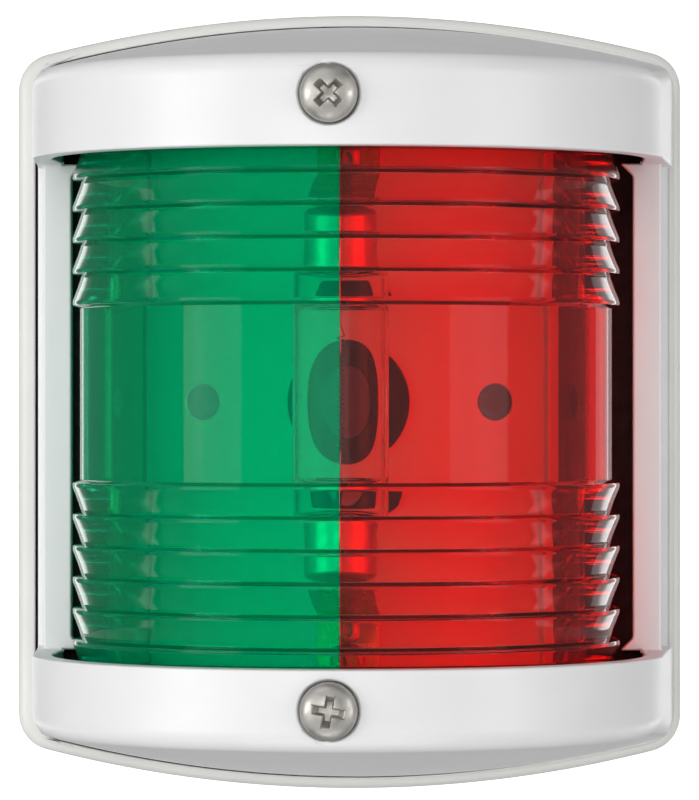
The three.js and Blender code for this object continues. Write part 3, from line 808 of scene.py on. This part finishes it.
def screw_seal(name):
    """A rubber ring with rounded edges."""
    (x0, x1), (rear, front), (z0, z1) = span(f"screw_seal_{name}")
    x, z, outer, inner = (x0 + x1) / 2, (z0 + z1) / 2, (x1 - x0) / 2, 1.5
    middle, half = (rear + front) / 2, (front - rear) / 2
    ring = [(outer - half + a, middle + b) for a, b in arc(half, -90, 90, 10)]
    ring += [(inner + half + a, middle + b) for a, b in arc(half, 90, 270, 10)]
    return smooth(turned(f"seal_{name}", ring + ring[:1], 64, x, z), 60)


for place, recess_turn in (("top", 45), ("bottom", -9)):
    screw = cover_screw(place, recess_turn)
    finish_piece(screw, f"cover_screw_{place}", f"cover_screw_{place}", "stainless")
    seal = screw_seal(place)
    finish_piece(seal, f"screw_seal_{place}", f"cover_screw_travel_{place}", "black_rubber")


# ---- Festoon lamp --------------------------------------------------------------------------------

def at_lamp(name, profile, segments=64):
    """A round piece about the lamp's own axis; heights are from its middle."""
    return drum(name, profile, segments, LAMP_CENTRE.x, LAMP_CENTRE.y, LAMP_CENTRE.z)


def lamp_glass():
    """A thin glass tube that narrows to a neck inside each cap."""
    radius, neck, thickness, shoulder = (LAMP_X[1] - LAMP_X[0]) / 2, 2.9, 0.45, 8.9
    half = LAMP_Z[1] - LAMP_CENTRE.z
    outer = [(neck, half), (neck, shoulder), (radius, shoulder), (radius, 0)]
    outer = rounded_corner(rounded_corner(outer, 2, 0.9, 8), 1, 0.15, 3)
    inner = [(neck - thickness, half), (neck - thickness, shoulder - thickness),
             (radius - thickness, shoulder - thickness), (radius - thickness, 0)]
    inner = rounded_corner(inner, 2, 0.6, 8)
    outside = outer + [(r, -z) for r, z in reversed(outer[:-1])]
    inside = inner + [(r, -z) for r, z in reversed(inner[:-1])]
    return smooth(at_lamp("bulb_glass", [*outside, *reversed(inside), outside[0]], 72), 60)


def lamp_cap(name, side):
    """A metal cap with a rolled rim, a domed end and a nib that sits in the contact's fork."""
    profile = [
        (3.2, 9.05), (3.25, 9), (3.52, 9), (3.6, 9.08), (3.6, 9.45), (3.52, 9.6), (3.52, 13.7),
        (3.45, 13.95), (3.2, 14.25), (2.4, 14.55), (1.6, 14.72), (1.3, 14.76), (1.2, 14.85),
        (1.2, 15.35), (1.1, 15.5), (0.8, 15.6), (0, 15.6), (0, 13.7), (3.2, 13.7), (3.2, 9.05),
    ]
    profile = [(r, side * z) for r, z in profile]
    return smooth(at_lamp(f"cap_{name}", profile, 56), 50)


def filament():
    """A fine coil between two straight leads."""
    turns, half, coil, wire, lead_end = 24, 5.6, 0.36, 0.055, 12.7
    x, depth, z = LAMP_CENTRE
    per_turn = 14
    path = [(x, depth, z - lead_end), (x, depth, z - half - 1)]
    for i in range(turns * per_turn + 1):
        angle = math.tau * i / per_turn
        height = -half + 2 * half * i / (turns * per_turn)
        path.append((x + coil * math.cos(angle), depth + coil * math.sin(angle), z + height))
    path += [(x, depth, z + half + 1), (x, depth, z + lead_end)]
    return smooth(tube("filament", path, wire, 8), 60)


finish_piece(lamp_glass(), "lamp_glass", "lamp", "lamp_glass")
finish_piece(filament(), "lamp_filament", "lamp", "filament")
for place, side in SIDES.items():
    finish_piece(lamp_cap(place, side), f"lamp_cap_{place}", "lamp", "nickel")


# ---- Contacts and terminals ----------------------------------------------------------------------

def contact_clip(name, side):
    """A strip bent forwards from the base, with a fork at its front end for the lamp's nib."""
    sheet, slot, corner = 0.45, 1.35, 0.6
    (x0, x1), (rear, front), (z0, z1) = span(f"contact_clip_{name}")
    near, far = (z0, z0 + sheet) if side > 0 else (z1 - sheet, z1)
    back = front - corner
    plan = [(x0, rear), (x1, rear), (x1, back), (x1 - corner, front)]
    plan += [(slot + 0.5, front), (slot, back)]
    plan += [(slot * x, LAMP_CENTRE.y + slot * y) for x, y in arc(1, 0, -180, 16)]
    plan += [(-slot, back), (-slot - 0.5, front), (x0 + corner, front), (x0, back)]
    body = tier(f"clip_{name}", plan, near, far)
    join(body, block("tongue", (x0, rear, z0), (x1, rear + sheet, z1)))
    cut(body,
        turned("hole", disc(RIVET_HOLE, 0, 8), 32, 0, middle_z(f"clip_rivet_{name}")),
        turned("hole", disc(TERMINAL_HOLE, 0, 8), 32, 0, middle_z(f"terminal_screw_{name}")))
    soften(body, 0.07, 2, 40)
    return smooth(body)


def clip_rivet(name):
    """A rivet with a flat head at the rear, rolled over at the front."""
    (x0, x1), (rear, front), _ = span(f"clip_rivet_{name}")
    head, radius = front - 0.75, (x1 - x0) / 2
    profile = [
        (0, rear), (radius - 0.1, rear), (radius, rear + 0.1), (radius - 0.1, rear + 0.55),
        (0.75, rear + 0.7), (0.75, head), (1.17, head), (1.2, head + 0.06), (1.15, head + 0.3),
        (0.95, head + 0.55), (0.7, head + 0.7), (0.5, front), (0.4, front - 0.02),
        (0.3, head + 0.4), (0, head + 0.35),
    ]
    return smooth(turned(f"rivet_{name}", profile, 48, 0, middle_z(f"clip_rivet_{name}")), 50)


def wire_clamp(name):
    """A small plate that its screw pulls down on a wire."""
    (x0, x1), (rear, front), (z0, z1) = span(f"wire_clamp_{name}")
    body = block(f"clamp_{name}", (x0, rear, z0), (x1, front, z1))
    cut(body, turned("hole", disc(TERMINAL_HOLE, 0, 8), 32, 0, (z0 + z1) / 2))
    soften(body, 0.12, 2, 40)
    return smooth(body)


def terminal_screw(name):
    """A slotted cheese head with a domed top, on a threaded shank."""
    (x0, x1), (tip, front), (z0, z1) = span(f"terminal_screw_{name}")
    z, radius = (z0 + z1) / 2, (x1 - x0) / 2
    edge, dome = 0.8, 1
    under = front - edge - dome
    profile = [(0, under), (radius - 0.1, under), (radius, under + 0.1), (radius, under + edge)]
    for i in range(1, 8):
        t = i / 8 * math.pi / 2
        profile.append((radius * math.cos(t) ** 0.7, under + edge + dome * math.sin(t)))
    profile.append((0, front))
    body = turned(f"terminal_{name}", profile, 56, 0, z)
    reach, half = 3, 0.3
    corners = [(reach, -half), (reach, half), (-reach, half), (-reach, -half)]
    slot = [(a, z + b) for a, b in turned_about(corners, 25)]
    cut(body, slab("slot", slot, under + 1, front + 1))
    soften(body, 0.05, 2, 40)
    join(body, threaded_shank(0, z, tip, tip + 2.6, under + 0.2, 0.9, 1.1, 0.5))
    return smooth(body, 45)


for place, side in SIDES.items():
    finish_piece(contact_clip(place, side), f"contact_clip_{place}", "base", "brass")
    finish_piece(clip_rivet(place), f"clip_rivet_{place}", "base", "nickel")
    finish_piece(wire_clamp(place), f"wire_clamp_{place}", f"wire_clamp_{place}", "nickel")
    finish_piece(terminal_screw(place), f"terminal_screw_{place}", f"terminal_screw_{place}", "brass")


# ---- Floor, lights and camera --------------------------------------------------------------------

def studio():
    """A pale floor that curves up behind the light, and pale walls round it. Lengths are in metres.

    Only the camera sees them: they cast no light or shadow on the light, and don't show in its lenses.
    """
    side, front, back, floor, top, curve = 3, -3, 1, -0.35, 3, 0.5
    profile = [(front, floor), (back - curve, floor)]
    profile += [(back - curve + y, floor + curve + z) for y, z in arc(curve, -80, 0, 8)]
    profile += [(back, top)]
    points = [(x, y, z) for x in (-side, side) for y, z in profile]
    count = len(profile)
    faces = [(i, i + 1, count + i + 1, count + i) for i in range(count - 1)]
    corners = [(-side, back), (-side, front), (side, front), (side, back)]
    for (x0, y0), (x1, y1) in zip(corners, corners[1:]):
        faces.append(tuple(range(len(points), len(points) + 4)))
        points += [(x0, y0, floor), (x1, y1, floor), (x1, y1, top), (x0, y0, top)]
    mesh = bpy.data.meshes.new("backdrop")
    mesh.from_pydata(points, [], faces)
    obj = bpy.data.objects.new("backdrop", mesh)
    bpy.context.scene.collection.objects.link(obj)
    for polygon in mesh.polygons:
        polygon.use_smooth = True
    material, _, shader = new_material("backdrop")
    shader.inputs["Base Color"].default_value = (0.9, 0.9, 0.9, 1)
    shader.inputs["Roughness"].default_value = 0.9
    shader.inputs["Emission Color"].default_value = (1, 1, 1, 1)
    shader.inputs["Emission Strength"].default_value = 0.75
    mesh.materials.append(material)
    for kind in ("diffuse", "glossy", "transmission", "shadow"):
        setattr(obj, f"visible_{kind}", False)


def surroundings():
    """A grey surround with narrow bright bands at both sides, which the lens edges reflect.

    The tone follows y / 2 + x squared - 1.5 z squared, where (x, y, z) is the direction.
    """
    world = bpy.data.worlds.new("surroundings")
    bpy.context.scene.world = world
    world.use_nodes = True
    nodes, links = world.node_tree.nodes, world.node_tree.links
    direction = nodes.new("ShaderNodeTexCoord")
    axes = nodes.new("ShaderNodeSeparateXYZ")
    squares = nodes.new("ShaderNodeVectorMath")
    squares.operation = "MULTIPLY"
    spread = nodes.new("ShaderNodeVectorMath")
    spread.operation = "DOT_PRODUCT"
    spread.inputs[1].default_value = (1, 0, -1.5)
    level = nodes.new("ShaderNodeMath")
    level.operation = "MULTIPLY_ADD"
    level.inputs[1].default_value = 0.5
    for socket in (axes.inputs["Vector"], squares.inputs[0], squares.inputs[1]):
        links.new(direction.outputs["Generated"], socket)
    links.new(squares.outputs["Vector"], spread.inputs[0])
    links.new(axes.outputs["Y"], level.inputs[0])
    links.new(spread.outputs["Value"], level.inputs[2])
    tone = ramp(
        world.node_tree, level.outputs["Value"], (0.0, 0.14), (0.44, 0.18), (0.485, 0.03),
        (0.515, 0.03), (0.53, 1.0), (0.6, 1.0), (0.63, 0.18), (0.68, 0.06))
    background = nodes["Background"]
    links.new(tone, background.inputs["Color"])
    background.inputs["Strength"].default_value = 2.0


def area_light(name, place, size, power):
    """A soft light that faces the origin; place and size are in metres, and power is in watts."""
    data = bpy.data.lights.new(name, "AREA")
    data.shape = "RECTANGLE"
    data.size, data.size_y = size
    data.energy = power
    light = bpy.data.objects.new(name, data)
    light.location = place
    light.rotation_euler = (-Vector(place)).to_track_quat("-Z", "Y").to_euler()
    bpy.context.scene.collection.objects.link(light)
    return light


def camera():
    """A long lens straight in front of the light, a little to its right. Lengths are in metres."""
    distance, yaw = 0.520, math.radians(2.2)
    data = bpy.data.cameras.new("camera")
    data.sensor_width = 36
    data.lens = 233.8
    data.clip_start = 0.01
    obj = bpy.data.objects.new("camera", data)
    aim = Vector((0, 0, 0.0002))
    obj.location = aim + Vector((distance * math.sin(yaw), -distance * math.cos(yaw), 0))
    obj.rotation_euler = (aim - obj.location).to_track_quat("-Z", "Y").to_euler()
    bpy.context.scene.collection.objects.link(obj)
    bpy.context.scene.camera = obj


studio()
area_light("left", (-1.5, -1.0, 0.1), (0.9, 1.3), 17)
area_light("right", (1.56, -0.9, 0.1), (0.9, 1.3), 11.5)
area_light("front", (-0.3, -2.1, 0.25), (0.9, 0.9), 10)
# This one lights the edge of the red lens from behind, and stands where the camera would see it.
area_light("edge", (0.75, 1.3, 0), (0.7, 1.2), 1.3).visible_camera = False
area_light("top", (-0.5, -0.7, 1.4), (1.6, 0.8), 4.5)
area_light("bottom", (0.0, -0.7, -1.4), (1.6, 0.8), 7)
surroundings()
bpy.context.scene.view_settings.view_transform = "Standard"
camera()
